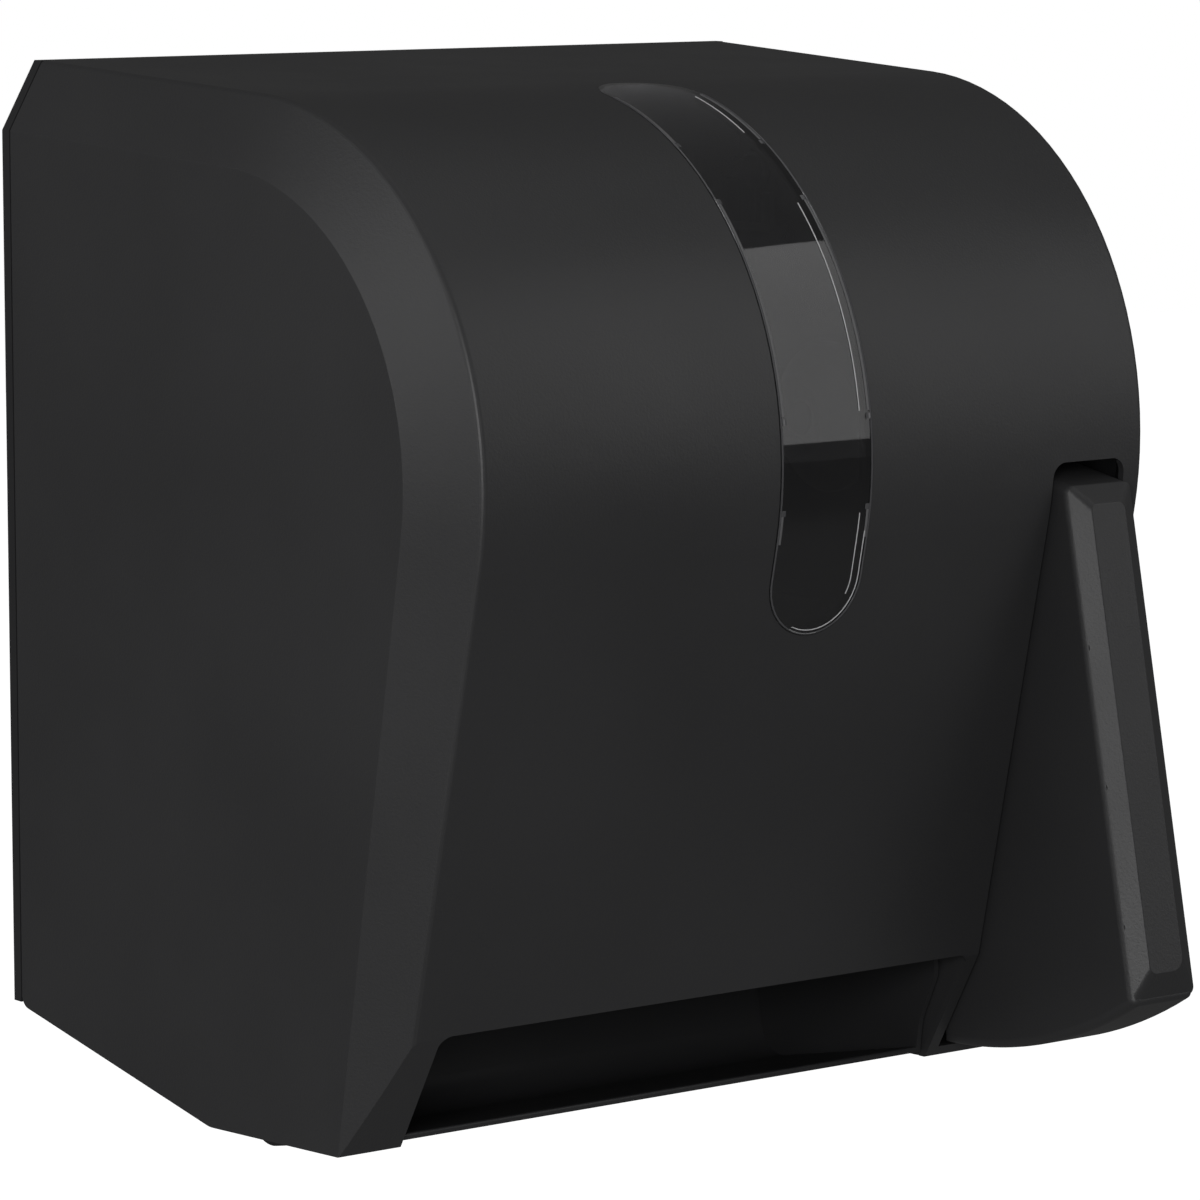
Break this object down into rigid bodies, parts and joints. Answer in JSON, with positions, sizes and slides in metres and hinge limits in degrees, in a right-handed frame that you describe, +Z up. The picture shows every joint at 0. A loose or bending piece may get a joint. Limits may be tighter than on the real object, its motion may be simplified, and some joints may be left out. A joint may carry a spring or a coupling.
{
  "type": "paper towel dispenser",
  "caption": "Wall-mounted paper towel dispenser with a push lever, a locked drop-down cover with a viewing window, geared feed and pinch rollers, a sprung roll holder and a tear bar.",
  "frame": {"origin": "Centre of the four wall screw holes, on the back plate's rear face, which lies on the wall.", "axes": "+X to the right seen from the front, along the hinge and the rollers; +Y into the wall; +Z up. The dispenser stands out towards -Y."},
  "size_m": [0.3359, 0.2964, 0.3732],
  "materials": {
    "charcoal_plastic": "fine grained, moulded in colour",
    "black_plastic": "smooth moulded",
    "smoked_window": "clear, smoked, polished",
    "natural_plastic": "unfilled, smooth",
    "drum_plastic": "smooth moulded",
    "black_rubber": "grooved, grippy",
    "plated_steel": "zinc plated sheet",
    "bright_steel": "ground",
    "spring_steel": "drawn wire and strip",
    "screw_steel": "plated",
    "lock_chrome": "plated"
  },
  "bodies": {
    "chassis": {"back_plate": "black_plastic", "hinge_pins": "bright_steel", "lock_strike": "plated_steel", "left_frame": "plated_steel", "right_frame": "plated_steel", "outer_frame": "plated_steel", "tie_bar": "plated_steel", "feed_bushes": "natural_plastic", "lever_pivot_pin": "bright_steel", "lever_pivot_washer": "natural_plastic", "lever_pin_clip": "bright_steel", "lever_stop_buffer": "black_rubber", "lever_return_spring": "spring_steel", "outlet_chute": "black_plastic", "paper_guide": "black_plastic", "tear_bar": "bright_steel", "frame_screws": "screw_steel", "guide_and_chute_screws": "screw_steel", "tear_bar_screws": "screw_steel", "right_roll_arm": "black_plastic", "right_hub_axle": "bright_steel", "roll_arm_pin": "bright_steel", "roll_arm_spring": "spring_steel", "pinch_springs": "spring_steel"},
    "cover": {"cover_shell": "charcoal_plastic", "viewing_window": "smoked_window", "window_retainer": "black_plastic", "lock_barrel": "lock_chrome"},
    "lock": {"lock_plug": "lock_chrome", "lock_cam": "bright_steel"},
    "lever": {"lever_paddle": "charcoal_plastic", "lever_sector_gear": "natural_plastic"},
    "clutch_gear": {"clutch_pinion": "natural_plastic", "one_way_clutch": "bright_steel"},
    "feed_roller": {"feed_shaft": "bright_steel", "feed_drum": "drum_plastic", "feed_sleeves": "black_rubber", "feed_knob": "black_plastic", "feed_shaft_clip": "bright_steel"},
    "pinch_carriage": {"pinch_blocks": "natural_plastic"},
    "pinch_roller": {"pinch_shaft": "bright_steel", "pinch_rollers": "black_rubber"},
    "left_arm": {"left_roll_arm": "black_plastic", "left_hub_axle": "bright_steel"},
    "left_hub": {"left_roll_hub": "natural_plastic"},
    "right_hub": {"right_roll_hub": "natural_plastic"}
  },
  "joints": [
    {"name": "cover_swing", "type": "hinge", "parent": "chassis", "child": "cover", "pos_m": [0, -0.026, -0.163], "axis": [1, 0, 0], "range_deg": [0, 90]},
    {"name": "lock_turn", "type": "hinge", "parent": "cover", "child": "lock", "pos_m": [0.165, -0.024, 0.122], "axis": [-1, 0, 0], "range_deg": [0, 90]},
    {"name": "lever_push", "type": "hinge", "parent": "chassis", "child": "lever", "pos_m": [0.1201, -0.19, 0.01], "axis": [1, 0, 0], "range_deg": [0, 20], "stiffness_Nm_per_rad": 3, "springref_deg": -20.05, "deforming": ["lever_return_spring"]},
    {"name": "clutch_gear_spin", "type": "hinge", "parent": "chassis", "child": "clutch_gear", "pos_m": [0.141, -0.13348, -0.11122], "axis": [1, 0, 0], "continuous": true},
    {"name": "feed_roller_spin", "type": "hinge", "parent": "chassis", "child": "feed_roller", "pos_m": [0, -0.13348, -0.11122], "axis": [1, 0, 0], "continuous": true},
    {"name": "pinch_press", "type": "slide", "parent": "chassis", "child": "pinch_carriage", "axis": [0, 0.5, -0.866], "range_m": [0, 0.0015], "stiffness_N_per_m": 3000, "springref_m": -0.003, "deforming": ["pinch_springs"]},
    {"name": "pinch_roller_spin", "type": "hinge", "parent": "pinch_carriage", "child": "pinch_roller", "pos_m": [0, -0.11933, -0.13573], "axis": [1, 0, 0], "continuous": true},
    {"name": "roll_arm_flex", "type": "hinge", "parent": "chassis", "child": "left_arm", "pos_m": [-0.107, -0.0126, 0.03722], "axis": [0, 0, -1], "range_deg": [0, 12], "stiffness_Nm_per_rad": 3, "springref_deg": -6.88, "deforming": ["roll_arm_spring"]},
    {"name": "left_hub_spin", "type": "hinge", "parent": "left_arm", "child": "left_hub", "pos_m": [-0.096, -0.1282, 0.03722], "axis": [1, 0, 0], "continuous": true},
    {"name": "right_hub_spin", "type": "hinge", "parent": "chassis", "child": "right_hub", "pos_m": [0.096, -0.1282, 0.03722], "axis": [1, 0, 0], "continuous": true}
  ],
  "couplings": [
    {"joint": "clutch_gear_spin", "follows": "lever_push", "ratio": -9.7},
    {"joint": "feed_roller_spin", "follows": "lever_push", "ratio": -9.7},
    {"joint": "pinch_roller_spin", "follows": "lever_push", "ratio": 20.478}
  ]
}
